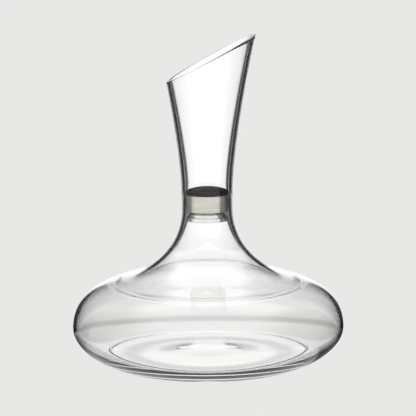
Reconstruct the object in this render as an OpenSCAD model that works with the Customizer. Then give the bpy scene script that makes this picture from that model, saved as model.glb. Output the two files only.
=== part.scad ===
// Wine decanter: a blown glass vessel with a slanted funnel mouth, a lift-out aerating
// insert seated in its throat, and a loose domed stopper that rests on the insert.
// Millimetres, +Z up. The origin is the centre of the base, on the surface it stands on.
// The high tip of the slanted mouth points along +X.

/* [Bowl] */
// Radius of the bowl at its widest
bowl_r = 107.5; // [100:0.5:115]
// Height of the widest point above the base
belly_z = 28; // [26:0.5:31]
// Outer radius of the flat ring that the bowl stands on
foot_r = 66; // [60:0.5:70]
// Width of the flat ring
foot_w = 7; // [4:0.5:12]
// Height of the hollow under the base
punt_h = 2.5; // [1:0.5:3.5]
// Thickness of the glass around the bowl
bowl_wall = 2.4; // [2:0.1:3]
// Thickness of the glass floor over the flat ring
floor_t = 5; // [4:0.5:7]

/* [Shoulder] */
// Radius at which the shoulder turns from domed to hollow
shoulder_r = 54; // [50:0.5:58]
// Height of that turn
shoulder_z = 71.5; // [69:0.5:74]
// Slope of the shoulder at the turn, in degrees
shoulder_slope = 26; // [20:1:32]

/* [Throat] */
// Outer radius of the throat
throat_r = 20; // [19.8:0.1:21]
// Radius of the bore through the throat
bore_r = 16.8; // [16.6:0.1:17.2]
// Height at which the throat becomes straight
throat_z0 = 122; // [120:0.5:124]
// Height at which the funnel starts to open
throat_z1 = 130; // [128:0.5:132]

/* [Funnel] */
// Height of the high tip of the mouth
height = 260; // [250:1:270]
// Radius of the funnel at the height of the tip
lip_r = 39; // [37:0.5:41]
// Tilt of the mouth's plane, in degrees
lip_tilt = 27.5; // [20:0.5:32]

/* [Insert] */
// Height of the steel sleeve's lower edge
sleeve_z0 = 121.1; // [120.5:0.1:121.5]
// Height of the steel sleeve
sleeve_h = 13.1; // [12.5:0.1:13.5]
// Gap between the insert's steel and the glass bore
insert_gap = 0.3; // [0.2:0.05:0.5]
// Thickness of the sleeve's wall
sleeve_wall = 1.2; // [0.8:0.1:1.5]
// Height of the rim round the flow spreader
rim_h = 4; // [3:0.5:5]
// Open gap between the sleeve and the spreader's rim
flow_gap = 4.4; // [4:0.1:5]
// Rise of the spreader's dome above its rim
dome_rise = 4.2; // [3.5:0.1:4.3]
// Radius of the holes in the strainer
strainer_hole_r = 0.9; // [0.6:0.1:1]

/* [Stopper] */
// Radius of the domed stopper cap
cap_r = 15.6; // [15:0.1:16]
// Height of the cap
cap_h = 3.5; // [3:0.1:5]
// Depth that the plug reaches below the cap
plug_h = 8; // [7:0.5:9]

/* [Hidden] */
$fn = 96;

// Glass outline
curve_steps = 14;
foot_reach = 18;
belly_drop = 13.5;
belly_lift = 34;
shoulder_out = 15;
shoulder_in = 32;
throat_lead = 12;
funnel_lead = 35;
flare_r = 30.5;
flare_drop = 38;
shoulder_wall = 2.8;
lip_wall = 2.8;
floor_crown = 1.5;
lip_spare = 6;
eps = 0.01;

// The seat in the bore that carries the insert
seat_z0 = 132.5;
seat_z1 = 137;
seat_flare = 0.4;
seat_gap = 0.1;

// Insert
sleeve_r = bore_r - insert_gap;
sleeve_bore = sleeve_r - sleeve_wall;
sleeve_z1 = sleeve_z0 + sleeve_h;
ledge_w = 1.1;
ledge_t = 1.2;
seal_t = 2.2;
seal_skirt = 4.2;
seal_skirt_w = 0.7;
seal_bore = sleeve_bore - seal_skirt_w;
seal_z1 = sleeve_z1 + seal_t;
strainer_t = 0.8;
strainer_z0 = sleeve_z0 + ledge_t;
strainer_z1 = strainer_z0 + strainer_t;
// The strainer's holes stand in rings, a pitch apart; each ring has six more holes than the one inside it
hole_pitch = 2.8;
hole_rings = 3;
first_ring_holes = 8;
added_holes = 6;
fit_gap = 0.05;
rim_z1 = sleeve_z0 - flow_gap;
rim_z0 = rim_z1 - rim_h;
rim_shelf = 1.8;
dome_t = 1;
dome_steps = 12;
// 1 makes the dome an ellipse; a lower value makes its side steeper and its top flatter
dome_power = 0.22;
dome_r = sleeve_r - rim_shelf;
dome_z1 = rim_z1 + dome_rise;
stem_r = 1.5;
stem_head_r = 3.5;
stem_head_h = 1.4;
nut_r = 3.7;
nut_h = 2.6;
nut_dome_h = 1.8;
nut_dome_r = 3;
nut_top_r = 1.8;
nut_bore_h = 2.9;
spacer_r = 3.4;
// Height at which the bolt's flat head meets the flat underside of the dome
head_z1 = rim_z1 + (dome_rise - dome_t) * sin(90 - 90 / dome_steps) - fit_gap;

// Stopper
rest_gap = 0.1;
cap_z0 = seal_z1 + rest_gap;
cap_edge_h = 0.7;
plug_head_r = 9;
plug_head_h = 1.5;
ring_r = 1.1;
ring_gap = 0.1;
ring_mid_r = seal_bore - ring_gap - ring_r;
ring_drop = 3.2;
ring_z = cap_z0 - ring_drop;
plug_r = ring_mid_r;
plug_z0 = cap_z0 - plug_h;
weight_r = 10.4;
weight_h = 3.8;
weight_roof = 2.4;
base_t = plug_h - weight_roof - weight_h;

function bezier(p, t) = pow(1 - t, 3) * p[0] + 3 * pow(1 - t, 2) * t * p[1]
    + 3 * (1 - t) * t * t * p[2] + pow(t, 3) * p[3];
// The points along a curve after its first one
function curve(p, steps = curve_steps) = [for (i = [1:steps]) bezier(p, i / steps)];
// A smooth bump that falls from 1 on the axis to 0 at the given radius
function crown(x, r) = (1 + cos(180 * x / r)) / 2;
function crown_line(r, z, rise, steps = 8) =
    [for (i = [0:steps]) [r * i / steps, z + rise * crown(i, steps)]];
function reversed(list) = [for (i = [len(list) - 1:-1:0]) list[i]];

// The bowl, shoulder and throat, from the floor up. The inset is taken off the wall at
// each stage, so the same curves give the outside and the inside.
function bowl_line(start, belly_inset, turn_inset, throat) =
    let (
        belly = [bowl_r - belly_inset, belly_z],
        along = [-cos(shoulder_slope), sin(shoulder_slope)],
        turn = [shoulder_r, shoulder_z] - turn_inset * [sin(shoulder_slope), cos(shoulder_slope)]
    ) concat(
        curve([start, start + [foot_reach, 0], belly - [0, belly_drop - belly_inset], belly]),
        curve([belly, belly + [0, belly_lift - belly_inset], turn - shoulder_out * along, turn]),
        curve([turn, turn + shoulder_in * along, [throat, throat_z0 - throat_lead], [throat, throat_z0]])
    );
function funnel_line(start, inset) =
    let (
        tip = [lip_r - inset, height],
        flare = [flare_r - inset, height - flare_drop],
        slope = (tip - flare) / norm(tip - flare)
    ) concat(
        curve([start, [start[0], throat_z1 + funnel_lead], flare, tip]),
        [tip + lip_spare * slope]
    );

module vessel_outline() {
    punt_r = foot_r - foot_w;
    outside = concat(
        crown_line(punt_r, 0, punt_h),
        [[foot_r, 0]],
        bowl_line([foot_r, 0], 0, 0, throat_r),
        [[throat_r, throat_z1]],
        funnel_line([throat_r, throat_z1], 0)
    );
    inside = concat(
        crown_line(foot_r, floor_t, floor_crown),
        bowl_line([foot_r, floor_t], bowl_wall, shoulder_wall, bore_r),
        [[bore_r, seat_z0], [bore_r + seat_flare, seat_z1]],
        funnel_line([bore_r + seat_flare, seat_z1], lip_wall)
    );
    polygon(concat(outside, reversed(inside)));
}

module glass_vessel() {
    cut = 2 * bowl_r;
    color("lightcyan", 0.35) difference() {
        rotate_extrude() vessel_outline();
        translate([lip_r, 0, height]) rotate([0, -lip_tilt, 0]) translate([-cut, -cut, 0]) cube(2 * cut);
    }
}

module tube(r, bore, h) {
    difference() {
        cylinder(r = r, h = h);
        translate([0, 0, -eps]) cylinder(r = bore, h = h + 2 * eps);
    }
}

// Brushed steel band with a ledge inside its lower edge
module insert_sleeve() {
    color("silver") translate([0, 0, sleeve_z0]) {
        tube(sleeve_r, sleeve_bore, sleeve_h);
        tube(sleeve_bore + eps, sleeve_bore - ledge_w, ledge_t);
    }
}

// Silicone ring on top of the sleeve, which rests on the seat in the bore
module throat_seal() {
    function seat_r(z) = bore_r + seat_flare * (z - seat_z0) / (seat_z1 - seat_z0) - seat_gap;
    color([0.06, 0.06, 0.06]) rotate_extrude() polygon([
        [seal_bore, sleeve_z1 - seal_skirt],
        [sleeve_bore, sleeve_z1 - seal_skirt],
        [sleeve_bore, sleeve_z1],
        [seat_r(sleeve_z1), sleeve_z1],
        [seat_r(seal_z1), seal_z1],
        [seal_bore, seal_z1]
    ]);
}

module strainer_disc() {
    color("gainsboro") translate([0, 0, strainer_z0]) difference() {
        cylinder(r = sleeve_bore - fit_gap, h = strainer_t);
        translate([0, 0, -eps]) cylinder(r = stem_r + fit_gap, h = strainer_t + 2 * eps);
        for (ring = [0:hole_rings - 1]) {
            holes = first_ring_holes + added_holes * ring;
            for (i = [0:holes - 1]) rotate(360 * i / holes) translate([(ring + 2) * hole_pitch, 0, -eps])
                cylinder(r = strainer_hole_r, h = strainer_t + 2 * eps, $fn = 24);
        }
    }
}

// Pressed steel dome with an upright rim, which throws the wine against the glass
module flow_spreader() {
    function dome_line(r, rise) = [for (i = [0:dome_steps])
        let (a = 90 * i / dome_steps) [r * pow(cos(a), dome_power), rim_z1 + rise * sin(a)]];
    outer = dome_line(dome_r, dome_rise);
    inner = dome_line(dome_r - dome_t, dome_rise - dome_t);
    color("whitesmoke") difference() {
        rotate_extrude() polygon(concat(
            [[sleeve_r, rim_z0], [sleeve_r, rim_z1]],
            outer,
            reversed(inner),
            [[dome_r - dome_t, rim_z1 - dome_t], [sleeve_r - dome_t, rim_z1 - dome_t]],
            [[sleeve_r - dome_t, rim_z0]]
        ));
        translate([0, 0, rim_z1]) cylinder(r = stem_r + fit_gap, h = 2 * dome_rise);
    }
}

// Rod with a button head under the dome
module stem_bolt() {
    color("silver") {
        translate([0, 0, head_z1 - stem_head_h]) cylinder(r = stem_head_r, h = stem_head_h);
        translate([0, 0, head_z1 - eps]) cylinder(r = stem_r, h = strainer_z1 + nut_bore_h - head_z1);
    }
}

module stem_spacer() {
    color("silver") translate([0, 0, dome_z1]) tube(spacer_r, stem_r + fit_gap, strainer_z0 - dome_z1);
}

// Hexagonal nut with a domed top, on top of the strainer
module cap_nut() {
    color("silver") translate([0, 0, strainer_z1]) difference() {
        union() {
            cylinder(r = nut_r, h = nut_h, $fn = 6);
            translate([0, 0, nut_h - eps]) cylinder(r1 = nut_dome_r, r2 = nut_top_r, h = nut_dome_h);
        }
        translate([0, 0, -eps]) cylinder(r = stem_r + fit_gap, h = nut_bore_h + 2 * eps);
    }
}

// Silicone dome with a recess that holds the plug's head
module stopper_cap() {
    function top_line() =
        [for (i = [0:dome_steps]) let (a = 90 * i / dome_steps)
            [cap_r * cos(a), cap_z0 + cap_edge_h + (cap_h - cap_edge_h) * sin(a)]];
    color([0.05, 0.05, 0.05]) rotate_extrude() polygon(concat(
        [[plug_head_r + fit_gap, cap_z0], [cap_r - cap_edge_h / 2, cap_z0], [cap_r, cap_z0 + cap_edge_h / 2]],
        top_line(),
        [[0, cap_z0 + plug_head_h + fit_gap], [plug_head_r + fit_gap, cap_z0 + plug_head_h + fit_gap]]
    ));
}

// Moulded plug, hollow from below, with a groove for its ring
module stopper_plug() {
    color([0.12, 0.12, 0.12]) difference() {
        union() {
            translate([0, 0, plug_z0]) cylinder(r = plug_r, h = plug_h);
            translate([0, 0, cap_z0 - eps]) cylinder(r = plug_head_r, h = plug_head_h + eps);
        }
        translate([0, 0, plug_z0 - eps])
            cylinder(r = weight_r + fit_gap, h = base_t + weight_h + fit_gap + eps);
        translate([0, 0, ring_z]) rotate_extrude()
            translate([ring_mid_r, 0]) circle(r = ring_r + fit_gap, $fn = 32);
    }
}

module stopper_weight() {
    color("dimgray") translate([0, 0, plug_z0 + base_t]) cylinder(r = weight_r, h = weight_h);
}

module plug_base() {
    color([0.12, 0.12, 0.12]) translate([0, 0, plug_z0]) cylinder(r = weight_r, h = base_t - fit_gap);
}

module plug_ring() {
    color([0.05, 0.05, 0.05]) translate([0, 0, ring_z]) rotate_extrude()
        translate([ring_mid_r, 0]) circle(r = ring_r, $fn = 32);
}

glass_vessel();
insert_sleeve();
throat_seal();
strainer_disc();
flow_spreader();
stem_bolt();
stem_spacer();
cap_nut();
stopper_cap();
stopper_plug();
stopper_weight();
plug_base();
plug_ring();
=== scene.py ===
"""Looks of a wine decanter: a blown glass vessel, a lift-out steel aerating insert and a loose stopper.

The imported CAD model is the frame. Every turned piece is lathed again from the size of its CAD node,
with a smooth outline and rounded edges, and rides on the same body.
"""
import math
from bisect import bisect_right
from collections import defaultdict

import bpy
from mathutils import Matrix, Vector


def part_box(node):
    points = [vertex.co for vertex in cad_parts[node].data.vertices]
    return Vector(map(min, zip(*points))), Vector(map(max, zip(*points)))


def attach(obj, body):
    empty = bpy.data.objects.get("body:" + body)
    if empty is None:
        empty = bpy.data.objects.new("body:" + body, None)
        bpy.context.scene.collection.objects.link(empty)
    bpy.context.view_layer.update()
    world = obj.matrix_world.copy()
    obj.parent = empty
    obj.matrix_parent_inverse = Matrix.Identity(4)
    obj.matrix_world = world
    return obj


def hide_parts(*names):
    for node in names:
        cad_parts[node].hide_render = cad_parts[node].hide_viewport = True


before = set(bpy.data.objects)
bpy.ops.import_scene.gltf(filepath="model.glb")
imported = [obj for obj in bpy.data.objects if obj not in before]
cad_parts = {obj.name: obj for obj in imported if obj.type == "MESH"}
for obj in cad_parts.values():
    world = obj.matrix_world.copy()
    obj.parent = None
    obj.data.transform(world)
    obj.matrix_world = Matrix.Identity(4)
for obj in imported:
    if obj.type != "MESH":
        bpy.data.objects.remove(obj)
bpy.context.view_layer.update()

MM = 0.001


# ---------------------------------------------------------------- outlines, as (radius, height) points

def turned_section(node, is_turned):
    """The two chains of rings of a CAD node that start on its axis, the lower chain first.
    is_turned says whether a vertex is on the turned surface, and not on a cut across it."""
    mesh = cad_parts[node].data
    grid = 0.02 * MM
    ring_of, members = {}, defaultdict(list)
    around = [(i, j) for i in (0, -1, 1) for j in (0, -1, 1)]
    for v in mesh.vertices:
        r, z = math.hypot(v.co.x, v.co.y), v.co.z
        cell = (round(r / grid), round(z / grid))
        near = [(cell[0] + i, cell[1] + j) for i, j in around]
        if is_turned(v.co):
            ring_of[v.index] = next((n for n in near if n in members), cell)
            members[ring_of[v.index]].append((r, z))
    fewest = 6
    rings = {k: p for k, p in members.items() if len(p) >= fewest or k[0] == 0}
    meets = defaultdict(set)
    for edge in mesh.edges:
        a, b = (ring_of.get(i) for i in edge.vertices)
        if a != b and a in rings and b in rings:
            meets[a].add(b)
            meets[b].add(a)
    chains = []
    for start in sorted(k for k in rings if k[0] == 0):
        chain = [start]
        while True:
            ahead = [k for k in meets[chain[-1]] if k not in chain]
            if not ahead:
                break
            chain.append(min(ahead, key=lambda k: math.dist(k, chain[-1])))
        chains.append([tuple(sum(c) / len(c) for c in zip(*rings[k])) for k in chain])
    return chains


def without_straight_points(points, least_turn=math.radians(0.06)):
    """Drops the points that only divide a straight stretch."""
    kept = [points[0]]
    for here, ahead in zip(points[1:], points[2:]):
        before = Vector(here) - Vector(kept[-1])
        after = Vector(ahead) - Vector(here)
        if abs(before.angle_signed(after)) > least_turn:
            kept.append(here)
    return kept + [points[-1]]


class Outline:
    """A smooth curve through points, which runs on straight past its last point."""

    def __init__(self, points):
        self.points = [Vector(p) for p in without_straight_points(points)]
        p = self.points
        chords = [(b - a).length for a, b in zip(p, p[1:])]
        slopes = [(b - a) / c for a, b, c in zip(p, p[1:], chords)]
        self.tangents = [slopes[0]]
        for i in range(1, len(p) - 1):
            w = chords[i] / (chords[i - 1] + chords[i])
            self.tangents.append((w * slopes[i - 1] + (1 - w) * slopes[i]).normalized())
        self.tangents.append(slopes[-1])
        self.starts = [0.0]
        for c in chords:
            self.starts.append(self.starts[-1] + c)
        self.length = self.starts[-1]

    def at(self, s):
        if s >= self.length:
            return self.points[-1] + (s - self.length) * self.tangents[-1]
        i = bisect_right(self.starts, max(s, 0), hi=len(self.starts) - 1) - 1
        chord = self.starts[i + 1] - self.starts[i]
        t = (s - self.starts[i]) / chord
        a, b = self.points[i], self.points[i + 1]
        ta, tb = self.tangents[i] * chord, self.tangents[i + 1] * chord
        return ((1 + 2 * t) * (1 - t) ** 2 * a + t * (1 - t) ** 2 * ta
                + t * t * (3 - 2 * t) * b + t * t * (t - 1) * tb)

    def at_height(self, z, low, high):
        """The distance along the outline at which it rises through a height."""
        for _ in range(40):
            mid = (low + high) / 2
            low, high = (mid, high) if self.at(mid).y < z else (low, mid)
        return (low + high) / 2


def rounded(corners, steps=6):
    """A closed outline with each corner (r, z, radius) rounded off by an arc-like curve."""
    points = []
    for i, (r, z, radius) in enumerate(corners):
        here = Vector((r, z))
        if radius == 0:
            points.append((r, z))
            continue
        before = Vector(corners[i - 1][:2]) - here
        after = Vector(corners[(i + 1) % len(corners)][:2]) - here
        half = before.angle(after) / 2
        reach = min(radius / math.tan(half), 0.49 * before.length, 0.49 * after.length)
        a, b = here + reach * before.normalized(), here + reach * after.normalized()
        for k in range(steps + 1):
            t = k / steps
            points.append(tuple((1 - t) ** 2 * a + 2 * t * (1 - t) * here + t * t * b))
    return points


def arc_points(r, z, radius_r, radius_z, start, end, steps):
    """Points of an elliptical arc round (r, z), from one angle to another in degrees."""
    angles = [math.radians(start + (end - start) * k / steps) for k in range(steps + 1)]
    return [(r + radius_r * math.cos(a), z + radius_z * math.sin(a)) for a in angles]


# ---------------------------------------------------------------- meshes

def smooth_object(name, vertices, faces, material):
    mesh = bpy.data.meshes.new(name)
    mesh.from_pydata([tuple(v) for v in vertices], [], faces)
    mesh.polygons.foreach_set("use_smooth", [True] * len(mesh.polygons))
    mesh.materials.append(material)
    mesh.update()
    piece = bpy.data.objects.new(name, mesh)
    bpy.context.scene.collection.objects.link(piece)
    return piece


def lathe(name, outline, material, segments=128, closed=True):
    """Turns an outline, in millimetres, round the Z axis. Points on the axis become poles."""
    vertices, rings = [], []
    for r, z in outline:
        if r < 1e-6:
            rings.append([len(vertices)])
            vertices.append((0, 0, z * MM))
            continue
        rings.append(list(range(len(vertices), len(vertices) + segments)))
        for k in range(segments):
            a = 2 * math.pi * k / segments
            vertices.append((r * math.cos(a) * MM, r * math.sin(a) * MM, z * MM))
    faces = []
    pairs = list(zip(rings, rings[1:])) + ([(rings[-1], rings[0])] if closed else [])
    for lower, upper in pairs:
        faces += band(lower, upper, segments)
    return smooth_object(name, vertices, faces, material)


def band(lower, upper, segments):
    """The faces between two rings, either of which may be a pole."""
    faces = []
    for k in range(segments):
        n = (k + 1) % segments
        if len(lower) == 1 and len(upper) == 1:
            continue
        if len(lower) == 1:
            faces.append((lower[0], upper[n], upper[k]))
        elif len(upper) == 1:
            faces.append((lower[k], lower[n], upper[0]))
        else:
            faces.append((lower[k], lower[n], upper[n], upper[k]))
    return faces


def fit(piece, body, slot, *nodes):
    """The piece rides on a body and stands for its CAD nodes, which are hidden."""
    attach(piece, body)
    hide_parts(*nodes)
    return piece


# ---------------------------------------------------------------- materials

class Shader:
    """A node material with one Principled shader, and helpers that wire its textures."""

    def __init__(self, name, **sockets):
        self.material = bpy.data.materials.new(name)
        self.material.use_nodes = True
        self.tree = self.material.node_tree
        self.shader = self.tree.nodes["Principled BSDF"]
        for socket, value in sockets.items():
            self.shader.inputs[socket.replace("_", " ")].default_value = value

    def add(self, kind, **values):
        node = self.tree.nodes.new("ShaderNode" + kind)
        for key, value in values.items():
            if hasattr(node, key):
                setattr(node, key, value)
            else:
                node.inputs[key.replace("_", " ")].default_value = value
        return node

    def link(self, output, target):
        self.tree.links.new(output, target)

    def noise(self, stretch, scale, detail=3.0, roughness=0.5):
        """Noise in the object's own millimetres, stretched along the axes."""
        place = self.add("TexCoord")
        shape = self.add("Mapping", Scale=tuple(s / MM for s in stretch))
        self.link(place.outputs["Object"], shape.inputs["Vector"])
        texture = self.add("TexNoise", Scale=scale, Detail=detail, Roughness=roughness)
        self.link(shape.outputs["Vector"], texture.inputs["Vector"])
        return texture.outputs["Fac"]

    def ramp(self, value, *stops):
        """Maps a value to colours: each stop is a position and a colour."""
        node = self.add("ValToRGB")
        elements = node.color_ramp.elements
        while len(elements) < len(stops):
            elements.new(0.5)
        for element, (position, colour) in zip(elements, stops):
            element.position = position
            element.color = (*colour, 1) if len(colour) == 3 else colour
        self.link(value, node.inputs["Fac"])
        return node.outputs["Color"]

    def remap(self, value, low, high):
        """Spreads the middle of a noise value over a range."""
        node = self.add("MapRange")
        node.inputs["From Min"].default_value = 0.3
        node.inputs["From Max"].default_value = 0.7
        node.inputs["To Min"].default_value = low
        node.inputs["To Max"].default_value = high
        self.link(value, node.inputs["Value"])
        return node.outputs["Result"]

    def bump(self, height, distance, strength=1.0):
        node = self.add("Bump", Strength=strength, Distance=distance * MM)
        self.link(height, node.inputs["Height"])
        self.link(node.outputs["Normal"], self.shader.inputs["Normal"])

    def feed(self, output, socket):
        self.link(output, self.shader.inputs[socket])


def clear_glass():
    glass = Shader("clear_glass", Transmission_Weight=1.0, IOR=1.5, Roughness=0.0)
    tint = glass.noise((0.01, 0.01, 0.01), 1.0)
    glass.feed(glass.ramp(tint, (0.3, (0.985, 0.995, 0.988)), (0.7, (0.995, 1.0, 0.996))), "Base Color")
    glass.bump(glass.noise((0.03, 0.03, 0.02), 1.0, detail=1.0), 0.04, strength=0.5)
    return glass.material


def brushed_steel():
    steel = Shader("brushed_steel", Metallic=1.0, Anisotropic=0.7, Anisotropic_Rotation=0.25)
    lines = steel.noise((0.02, 0.02, 9.0), 1.0, detail=4.0, roughness=0.7)
    broad = steel.noise((0.05, 0.05, 1.4), 1.0, detail=2.0)
    mixed = steel.add("Math", operation="ADD")
    halved = steel.add("Math", operation="MULTIPLY")
    halved.inputs[1].default_value = 0.5
    steel.link(lines, mixed.inputs[0])
    steel.link(broad, mixed.inputs[1])
    steel.link(mixed.outputs[0], halved.inputs[0])
    grain = halved.outputs[0]
    steel.feed(steel.ramp(grain, (0.35, (0.56, 0.53, 0.48)), (0.65, (0.78, 0.75, 0.70))), "Base Color")
    steel.feed(steel.remap(lines, 0.24, 0.38), "Roughness")
    steel.bump(lines, 0.012)
    turn = steel.add("Tangent", direction_type="RADIAL", axis="Z")
    steel.feed(turn.outputs["Tangent"], "Tangent")
    return steel.material


def polished_steel():
    steel = Shader("polished_steel", Metallic=1.0)
    smear = steel.noise((0.25, 0.25, 0.25), 1.0, detail=5.0)
    steel.feed(steel.ramp(smear, (0.35, (0.78, 0.77, 0.75)), (0.65, (0.86, 0.85, 0.83))), "Base Color")
    steel.feed(steel.remap(smear, 0.05, 0.11), "Roughness")
    steel.bump(steel.noise((1.5, 1.5, 1.5), 1.0), 0.002)
    return steel.material


def black_silicone():
    rubber = Shader("black_silicone", Specular_IOR_Level=0.02)
    dust = rubber.noise((0.4, 0.4, 0.4), 1.0, detail=6.0, roughness=0.6)
    rubber.feed(rubber.ramp(dust, (0.35, (0.008, 0.008, 0.009)), (0.7, (0.016, 0.016, 0.018))), "Base Color")
    rubber.feed(rubber.remap(dust, 0.55, 0.7), "Roughness")
    rubber.bump(rubber.noise((6, 6, 6), 1.0, detail=2.0), 0.01)
    return rubber.material


def black_plastic():
    plastic = Shader("black_plastic", Specular_IOR_Level=0.5)
    grain = plastic.noise((4, 4, 4), 1.0, detail=4.0, roughness=0.7)
    tone = plastic.ramp(grain, (0.3, (0.016, 0.016, 0.017)), (0.7, (0.034, 0.034, 0.036)))
    plastic.feed(tone, "Base Color")
    plastic.feed(plastic.remap(grain, 0.42, 0.58), "Roughness")
    plastic.bump(grain, 0.02)
    return plastic.material


GLASS = clear_glass()
BRUSHED = brushed_steel()
POLISHED = polished_steel()
SILICONE = black_silicone()
PLASTIC = black_plastic()


# ---------------------------------------------------------------- the glass vessel

def mouth_plane():
    """The height of the slanted cut above the axis, and its rise for each metre along X."""
    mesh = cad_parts["glass_vessel"].data
    tip = max((v.co for v in mesh.vertices), key=lambda co: co.z)
    far_side = [v.co for v in mesh.vertices if v.co.x < 0 and abs(v.co.y) < 0.05 * MM]
    highest = max(co.z for co in far_side)
    heel = min((co for co in far_side if co.z > 0.8 * highest), key=lambda co: co.x)
    rise = (tip.z - heel.z) / (tip.x - heel.x)
    return tip.z - rise * tip.x, rise


def cut_distance(outline, azimuth, plane, low, high):
    """How far along the outline it meets the slanted cut, at an azimuth round the axis."""
    height, rise = plane
    for _ in range(40):
        mid = (low + high) / 2
        p = outline.at(mid)
        below = p.y < height + rise * p.x * math.cos(azimuth)
        low, high = (mid, high) if below else (low, mid)
    return (low + high) / 2


# Soft rings that blowing leaves inside the glass, in millimetres: radius, lowest and highest height, rise
# and half width
GLASS_RINGS = [
    (79, 0, 20, 0.7, 1.0),
    (73, 40, 80, 0.35, 3.0),
]


def ring_places(outline):
    """How far along the inner outline each soft ring stands, with its rise and half width in metres."""
    places = []
    for ring_r, low, high, rise, half in GLASS_RINGS:
        steps = [outline.length * k / 4000 for k in range(4001)]
        near = [s for s in steps if low * MM <= outline.at(s).y <= high * MM]
        places.append((min(near, key=lambda s: abs(outline.at(s).x - ring_r * MM)), rise * MM, half * MM))
    return places


def with_rings(outline, places, s):
    """A point of the outline, pushed inwards where a soft ring stands."""
    point = outline.at(s)
    along = (outline.at(s + 0.1 * MM) - outline.at(s - 0.1 * MM)).normalized()
    push = sum(rise * math.exp(-((s - place) / half) ** 2) for place, rise, half in places)
    return point + push * Vector((-along.y, along.x))


def glass_vessel():
    """Lathes the CAD outline with smooth curves, and rounds the slanted lip as a flame would."""
    columns = 160
    step = 1.6 * MM
    lip_round = 0.8 * MM
    lip_steps = 8
    ring_rows, rows_per_half = 8, 3
    past_the_end = 0.02
    plane = mouth_plane()
    height, rise = plane
    below_cut = turned_section("glass_vessel", lambda co: co.z < height + rise * co.x - 0.05 * MM)
    outer, inner = (Outline(chain) for chain in below_cut)
    steady_z = 0.2

    def stations(outline):
        """Distances shared by every azimuth, then the place where the slant starts to matter."""
        steady = outline.at_height(steady_z, outline.length / 2, outline.length)
        count = round(steady / step)
        return [steady * k / count for k in range(count + 1)], steady

    fixed = {"outer": stations(outer), "inner": stations(inner)}
    places = ring_places(inner)
    for place, _, half in places:
        fixed["inner"][0].extend(
            place + half * k / rows_per_half for k in range(-ring_rows, ring_rows + 1))
    fixed["inner"][0].sort()
    upper_rows = 34
    lines = []
    for c in range(columns):
        azimuth = 2 * math.pi * c / columns
        ends = {}
        sides = {}
        for side, outline in (("outer", outer), ("inner", inner)):
            rows, steady = fixed[side]
            cut = cut_distance(outline, azimuth, plane, steady, outline.length + past_the_end)
            end = cut - lip_round
            climb = [steady + (end - steady) * k / upper_rows for k in range(1, upper_rows + 1)]
            if side == "inner":
                sides[side] = [with_rings(outline, places, s) for s in rows]
                sides[side] += [outline.at(s) for s in climb]
            else:
                sides[side] = [outline.at(s) for s in rows + climb]
            ends[side] = (outline.at(end), (outline.at(end) - outline.at(end - step)).normalized())
        (a, up_a), (b, up_b) = ends["outer"], ends["inner"]
        reach = lip_round / 0.75
        lip = []
        for k in range(1, lip_steps):
            t = k / lip_steps
            lip.append((1 - t) ** 3 * a + 3 * (1 - t) ** 2 * t * (a + reach * up_a)
                       + 3 * (1 - t) * t * t * (b + reach * up_b) + t ** 3 * b)
        lines.append((azimuth, sides["outer"] + lip + sides["inner"][::-1]))
    vertices, rings = [], []
    for row in range(len(lines[0][1])):
        if lines[0][1][row].x < 1e-7:
            rings.append([len(vertices)])
            vertices.append((0, 0, lines[0][1][row].y))
            continue
        rings.append(list(range(len(vertices), len(vertices) + columns)))
        for azimuth, line in lines:
            p = line[row]
            vertices.append((p.x * math.cos(azimuth), p.x * math.sin(azimuth), p.y))
    faces = []
    for lower, upper in zip(rings, rings[1:]):
        faces += band(lower, upper, columns)
    vessel = smooth_object("decanter_glass", vertices, faces, GLASS)
    vessel.visible_shadow = False
    return fit(vessel, "vessel", "clear_glass", "glass_vessel")


# ---------------------------------------------------------------- the insert

def span(node):
    """A turned node's outer radius, and its lowest and highest height, in millimetres."""
    low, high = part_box(node)
    return high.x / MM, low.z / MM, high.z / MM


def insert_sleeve():
    r, z0, z1 = span("insert_sleeve")
    wall, ledge_w, ledge_t, edge = 1.2, 1.1, 1.2, 0.25
    bore = r - wall
    outline = rounded([
        (r, z0, edge), (r, z1, edge), (bore, z1, edge), (bore, z0 + ledge_t, 0.2),
        (bore - ledge_w, z0 + ledge_t, edge), (bore - ledge_w, z0, edge)])
    return fit(lathe("aerator_sleeve", outline, BRUSHED), "insert", "brushed_steel", "insert_sleeve")


def throat_seal():
    r, z0, z1 = span("throat_seal")
    sleeve_top = span("insert_sleeve")[2]
    sleeve_bore = span("insert_sleeve")[0] - 1.2
    seal_bore = sleeve_bore - 0.7
    outline = rounded([
        (seal_bore, z0, 0.25), (sleeve_bore, z0, 0.2), (sleeve_bore, sleeve_top, 0.1),
        (r - 0.18, sleeve_top, 0.35), (r, z1, 0.7), (seal_bore, z1, 0.6)])
    return fit(lathe("throat_seal_ring", outline, SILICONE), "insert", "black_silicone", "throat_seal")


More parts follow.
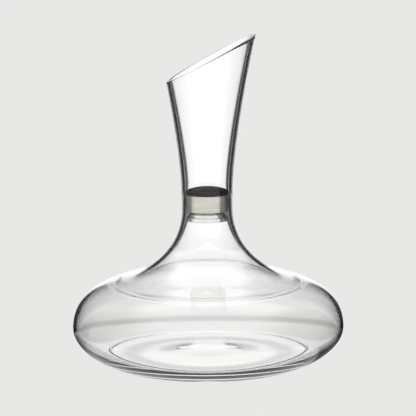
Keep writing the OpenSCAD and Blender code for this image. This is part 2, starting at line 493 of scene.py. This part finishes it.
def flow_spreader():
    """A pressed dome with a steep side and a flat top, and an upright rim round it."""
    r, z0, z1 = span("flow_spreader")
    wall, rim_h, shelf, hole, power = 1.0, 4.0, 1.8, 1.55, 0.22
    rim_top = z0 + rim_h
    dome_r = r - shelf

    def dome_line(radius, height, start, end, steps=26):
        angles = [math.radians(start + (end - start) * k / steps) for k in range(steps + 1)]
        line = [(radius * math.cos(a) ** power, rim_top + height * math.sin(a)) for a in angles]
        return [p for p in line if p[0] > 2 * hole]

    edge = rounded([
        (r, z0, 0.3), (r, rim_top, 0.45), (dome_r + 0.2, rim_top, 0.2), (dome_r, rim_top + 0.2, 0)])
    back = rounded([
        (dome_r - wall, rim_top - 0.2, 0), (dome_r - wall + 0.2, rim_top - wall, 0.2),
        (r - wall, rim_top - wall, 0.4), (r - wall, z0, 0.3)])
    dome = dome_line(dome_r, z1 - rim_top, 4, 89.99)
    under = dome_line(dome_r - wall, z1 - rim_top - wall, 89.99, 1)
    outline = edge[:-1] + dome + [(hole, z1), (hole, z1 - wall)] + under + back[1:]
    return fit(lathe("flow_dome", outline, POLISHED), "insert", "polished_steel", "flow_spreader")


def stem_bolt():
    r, z0, z1 = span("stem_bolt")
    stem_r, head_h = 1.5, 1.4
    outline = rounded([
        (0, z0, 0), (r, z0, 0.7), (r, z0 + head_h, 0.15), (stem_r, z0 + head_h, 0.15), (stem_r, z1, 0.4),
        (0, z1, 0)])
    screw = lathe("stem_screw", outline, POLISHED, 64, closed=False)
    return fit(screw, "insert", "polished_steel", "stem_bolt")


def stem_spacer():
    r, z0, z1 = span("stem_spacer")
    bore = 1.55
    outline = rounded([(r, z0, 0.3), (r, z1, 0.3), (bore, z1, 0.2), (bore, z0, 0.2)])
    return fit(lathe("stem_spacer_tube", outline, POLISHED, 64), "insert", "polished_steel", "stem_spacer")


def cap_nut():
    """A hexagonal nut with chamfered corners under a dome."""
    low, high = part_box("cap_nut")
    corner, z0, z1 = high.x / MM, low.z / MM, high.z / MM
    nut_h, dome_r, bore, bore_top = 2.6, 3.0, 1.55, 2.9
    segments = 96
    flat = corner * math.cos(math.pi / 6)

    def hex_radius(a, limit):
        return min(flat / math.cos(a % (math.pi / 3) - math.pi / 6), limit)

    levels = [
        (0.0, flat * 1.005), (0.25, corner), (nut_h - 0.45, corner), (nut_h - 0.12, flat * 1.03),
        (nut_h, flat * 0.985)]
    vertices, rings = [], []
    for h, limit in levels:
        rings.append(list(range(len(vertices), len(vertices) + segments)))
        for k in range(segments):
            a = 2 * math.pi * k / segments
            r = hex_radius(a, limit)
            vertices.append((r * math.cos(a) * MM, r * math.sin(a) * MM, (z0 + h) * MM))
    dome = [(dome_r, nut_h)] + arc_points(0, nut_h, dome_r, z1 - z0 - nut_h, 8, 82, 9)
    inside = [(0, z1 - z0), (0, bore_top), (bore, bore_top), (bore, 0.0)]
    for r, h in dome + inside:
        if r == 0:
            rings.append([len(vertices)])
            vertices.append((0, 0, (z0 + h) * MM))
            continue
        rings.append(list(range(len(vertices), len(vertices) + segments)))
        for k in range(segments):
            a = 2 * math.pi * k / segments
            vertices.append((r * math.cos(a) * MM, r * math.sin(a) * MM, (z0 + h) * MM))
    faces = []
    for lower, upper in list(zip(rings, rings[1:])) + [(rings[-1], rings[0])]:
        faces += band(lower, upper, segments)
    nut = smooth_object("cap_nut_hex", vertices, faces, POLISHED)
    nut.data.set_sharp_from_angle(angle=math.radians(25))
    return fit(nut, "insert", "polished_steel", "cap_nut")


# ---------------------------------------------------------------- the stopper

def stopper_cap():
    r, z0, z1 = span("stopper_cap")
    edge_h, head_r, head_h = 0.7, 9.05, 1.55
    top = arc_points(0, z0 + edge_h, r, z1 - z0 - edge_h, 0, 90, 20)
    outline = [(0, z0 + head_h), (head_r, z0 + head_h), (head_r, z0)]
    outline += [(r - edge_h, z0)] + arc_points(r - edge_h, z0 + edge_h, edge_h, edge_h, -75, -15, 5) + top
    dome = lathe("stopper_dome", outline, SILICONE, closed=False)
    return fit(dome, "stopper", "black_silicone", "stopper_cap")


def stopper_plug():
    r, z0, z1 = span("stopper_plug")
    weight_r = span("stopper_weight")[0] + 0.05
    ring_r, ring_low, ring_high = span("plug_ring")
    tube_r = (ring_high - ring_low) / 2 + 0.05
    ring_mid = (ring_high + ring_low) / 2
    head_r, head_h = 9.0, 1.5
    top, roof = z1 - head_h, span("stopper_weight")[2] + 0.05
    groove = arc_points(r, ring_mid, tube_r, tube_r, -90, -270, 10)
    outline = [(weight_r, z0)] + arc_points(r - 0.4, z0 + 0.4, 0.4, 0.4, -90, 0, 5) + groove
    outline += arc_points(r - 0.3, top - 0.3, 0.3, 0.3, 0, 90, 4) + [(head_r, top)]
    outline += arc_points(head_r - 0.3, z1 - 0.3, 0.3, 0.3, 0, 90, 4) + [(0, z1), (0, roof), (weight_r, roof)]
    return fit(lathe("stopper_stem", outline, PLASTIC), "stopper", "black_plastic", "stopper_plug")


def plug_base():
    r, z0, z1 = span("plug_base")
    outline = rounded([(0, z0, 0), (r, z0, 0.25), (r, z1, 0.15), (0, z1, 0)])
    disc = lathe("plug_base_disc", outline, PLASTIC, closed=False)
    return fit(disc, "stopper", "black_plastic", "plug_base")


def plug_ring():
    r, z0, z1 = span("plug_ring")
    tube_r = (z1 - z0) / 2
    outline = arc_points(r - tube_r, (z0 + z1) / 2, tube_r, tube_r, 0, 360, 24)[:-1]
    return fit(lathe("plug_seal_ring", outline, SILICONE), "stopper", "black_silicone", "plug_ring")


def carried_over(node, material):
    """A CAD node whose shape is right keeps it, and takes the material."""
    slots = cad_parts[node].data.materials
    slots.clear()
    slots.append(material)


# ---------------------------------------------------------------- the studio

BACKDROP = 0.807
STUDIO_WHITE = 1.08
# Dark cards that reflections see: azimuth from +Y towards +X, half width, softness of the edge and top, in
# degrees, and the level behind the card
CARDS = [
    (-36, 25, 2, 50, 0.03),
    (-76, 20, 15, 50, 0.22),
    (34, 23, 2, 50, 0.03),
    (64, 16, 8, 60, 0.3),
    (83, 29, 2, 60, 0.22),
]
# Reflections in the near wall of the glass, within this many bounces, see the studio dimmed to this level
GLASS_FRONT_DEPTH, GLASS_FRONT_LEVEL = 3, 0.03
# Black gaps between the white backdrops that are seen straight through the glass, in degrees: spacing, half
# width, softness of the edge and top, and the level in the gap
GAP_EVERY, GAP_HALF, GAP_EDGE, GAP_TOP, GAP_LEVEL = 45, 9, 3, 60, 0.03
# Painted shade rings on the light table, a painted contact shadow under the glass foot among them, which only
# rays through or off the glass see, from its middle
# out: radius in millimetres and level
TABLE_SHADE_RINGS = [
    (0, 0.76), (25, 0.92), (50, 0.92), (58, 0.55), (66, 0.55), (76, 0.9), (136, 0.86), (147, 0.6), (157, 0.6),
    (172, 0.82), (240, 1.0), (330, 1.0),
]


def math_node(tree, operation, *values):
    node = tree.nodes.new("ShaderNodeMath")
    node.operation = operation
    for socket, value in zip(node.inputs, values):
        if isinstance(value, (int, float)):
            socket.default_value = value
        else:
            tree.links.new(value, socket)
    return node.outputs[0]


def smooth_gate(tree, value, start, end):
    """0 on the start side and 1 on the end side, with a smooth step between."""
    node = tree.nodes.new("ShaderNodeMapRange")
    node.interpolation_type = "SMOOTHSTEP"
    node.inputs["From Min"].default_value = start
    node.inputs["From Max"].default_value = end
    tree.links.new(value, node.inputs["Value"])
    return node.outputs["Result"]


def dimmed(tree, level, off, elevation, half, edge, top, dark):
    """A level with one card taken out of it, off degrees away from the card's middle."""
    top_edge = 8
    inside = smooth_gate(tree, math_node(tree, "ABSOLUTE", off), half + edge, half - edge)
    below = smooth_gate(tree, elevation, top + top_edge, top - top_edge)
    mask = math_node(tree, "MULTIPLY", inside, below)
    return math_node(tree, "MULTIPLY", math_node(tree, "MULTIPLY_ADD", mask, dark - 1, 1), level)


def way(tree, place):
    """The azimuth from +Y towards +X, and the elevation, of a direction or a point, in degrees."""
    split = tree.nodes.new("ShaderNodeSeparateXYZ")
    tree.links.new(place, split.inputs["Vector"])
    x, y, z = (split.outputs[i] for i in range(3))
    degree = 180 / math.pi
    azimuth = math_node(tree, "MULTIPLY", math_node(tree, "ARCTAN2", x, y), degree)
    return azimuth, math_node(tree, "MULTIPLY", math_node(tree, "ARCSINE", z), degree)


def carded(tree, level, azimuth, elevation):
    """The level with the cards taken out of it."""
    for centre, *card in CARDS:
        off = math_node(tree, "WRAP", math_node(tree, "SUBTRACT", azimuth, centre), 180, -180)
        level = dimmed(tree, level, off, elevation, *card)
    return level


def by_path(tree, through, reflected):
    """One value for rays that only pass through glass, and another for rays reflected on the way."""
    path = tree.nodes.new("ShaderNodeLightPath")
    mix = tree.nodes.new("ShaderNodeMix")
    tree.links.new(math_node(tree, "GREATER_THAN", path.outputs["Glossy Depth"], 0.5), mix.inputs["Factor"])
    for socket, value in ((2, through), (3, reflected)):
        if isinstance(value, (int, float)):
            mix.inputs[socket].default_value = value
        else:
            tree.links.new(value, mix.inputs[socket])
    return mix.outputs[0]


def studio_level(tree, place):
    """The studio's brightness in each direction."""
    azimuth, elevation = way(tree, place)
    path = tree.nodes.new("ShaderNodeLightPath")
    is_early = math_node(tree, "LESS_THAN", path.outputs["Ray Depth"], GLASS_FRONT_DEPTH + 0.5)
    is_front = smooth_gate(tree, math_node(tree, "ABSOLUTE", azimuth), 70, 100)
    is_glass = math_node(tree, "MULTIPLY", is_early, path.outputs["Is Singular Ray"])
    is_veil = math_node(tree, "MULTIPLY", is_glass, is_front)
    dim = math_node(tree, "MULTIPLY_ADD", is_veil, GLASS_FRONT_LEVEL - 1, 1)
    reflected = math_node(tree, "MULTIPLY", carded(tree, STUDIO_WHITE, azimuth, elevation), dim)
    off = math_node(tree, "SUBTRACT", math_node(tree, "WRAP", azimuth, GAP_EVERY, 0), GAP_EVERY / 2)
    through = dimmed(tree, STUDIO_WHITE, off, elevation, GAP_HALF, GAP_EDGE, GAP_TOP, GAP_LEVEL)
    return by_path(tree, through, reflected)


def studio_world():
    """A white studio with dark cards round the object, and an even pale backdrop for the camera."""
    world = bpy.data.worlds.new("studio")
    bpy.context.scene.world = world
    world.use_nodes = True
    world.cycles.sampling_method = "NONE"
    tree = world.node_tree
    tree.nodes.clear()
    shine = tree.nodes.new("ShaderNodeBackground")
    shine.inputs["Color"].default_value = (1, 1, 1, 1)
    place = tree.nodes.new("ShaderNodeTexCoord")
    tree.links.new(studio_level(tree, place.outputs["Generated"]), shine.inputs["Strength"])
    plain = tree.nodes.new("ShaderNodeBackground")
    plain.inputs["Color"].default_value = (BACKDROP, BACKDROP, BACKDROP * 0.985, 1)
    path = tree.nodes.new("ShaderNodeLightPath")
    mix = tree.nodes.new("ShaderNodeMixShader")
    tree.links.new(path.outputs["Is Camera Ray"], mix.inputs["Fac"])
    tree.links.new(shine.outputs["Background"], mix.inputs[1])
    tree.links.new(plain.outputs["Background"], mix.inputs[2])
    out = tree.nodes.new("ShaderNodeOutputWorld")
    tree.links.new(mix.outputs["Shader"], out.inputs["Surface"])


def studio_floor():
    """A round pale light table. The camera sees it at the backdrop's level, and the glass sees painted shade
    on it:
    soft grey rings, a painted contact shadow under the foot among them, and darker sectors in the cards'
    directions."""
    radius = 330
    material = bpy.data.materials.new("pale_floor")
    material.use_nodes = True
    tree = material.node_tree
    tree.nodes.clear()
    place = tree.nodes.new("ShaderNodeTexCoord")
    far = tree.nodes.new("ShaderNodeVectorMath")
    far.operation = "LENGTH"
    tree.links.new(place.outputs["Object"], far.inputs[0])
    share = math_node(tree, "DIVIDE", far.outputs["Value"], radius * MM)
    # The ramp paints shade on the table: grey rings by distance from its middle, a painted contact shadow
    # under the glass foot among them
    rings = tree.nodes.new("ShaderNodeValToRGB")
    elements = rings.color_ramp.elements
    while len(elements) < len(TABLE_SHADE_RINGS):
        elements.new(0.5)
    for element, (ring_r, level) in zip(elements, TABLE_SHADE_RINGS):
        element.position = ring_r / radius
        element.color = (level, level, level, 1)
    tree.links.new(share, rings.inputs["Fac"])
    path = tree.nodes.new("ShaderNodeLightPath")
    seen = tree.nodes.new("ShaderNodeMix")
    tree.links.new(path.outputs["Is Camera Ray"], seen.inputs["Factor"])
    azimuth, elevation = way(tree, place.outputs["Object"])
    # Painted shade: rays reflected on the way see the floor darker in the directions of the cards
    card_shade_on_floor = carded(tree, rings.outputs["Color"], azimuth, elevation)
    tree.links.new(by_path(tree, rings.outputs["Color"], card_shade_on_floor), seen.inputs[2])
    seen.inputs[3].default_value = BACKDROP
    shine = tree.nodes.new("ShaderNodeEmission")
    shine.inputs["Color"].default_value = (1, 1, 0.985, 1)
    tree.links.new(seen.outputs[0], shine.inputs["Strength"])
    out = tree.nodes.new("ShaderNodeOutputMaterial")
    tree.links.new(shine.outputs["Emission"], out.inputs["Surface"])
    floor = lathe("studio_floor", [(0, 0), (radius, 0)], material, closed=False)
    floor.location.z = -0.2 * MM


def camera():
    lens = bpy.data.cameras.new("camera")
    lens.sensor_width = 36.0
    lens.lens = 144.6
    lens.clip_start = 0.05
    eye = bpy.data.objects.new("camera", lens)
    bpy.context.scene.collection.objects.link(eye)
    eye.location = (0.0006, -1.3, 0.34)
    pitch, roll = math.radians(9.49), math.radians(-0.5)
    eye.rotation_mode = "XYZ"
    eye.rotation_euler = (math.pi / 2 - pitch, 0, 0)
    eye.rotation_euler.rotate_axis("Z", roll)
    bpy.context.scene.camera = eye


def light_paths():
    scene = bpy.context.scene
    scene.view_settings.view_transform = "Standard"
    scene.view_settings.look = "None"
    scene.cycles.max_bounces = 32
    scene.cycles.transmission_bounces = 32
    scene.cycles.glossy_bounces = 16


glass_vessel()
insert_sleeve()
throat_seal()
carried_over("strainer_disc", POLISHED)
flow_spreader()
stem_bolt()
stem_spacer()
cap_nut()
stopper_cap()
stopper_plug()
carried_over("stopper_weight", BRUSHED)
plug_base()
plug_ring()
studio_world()
studio_floor()
camera()
light_paths()
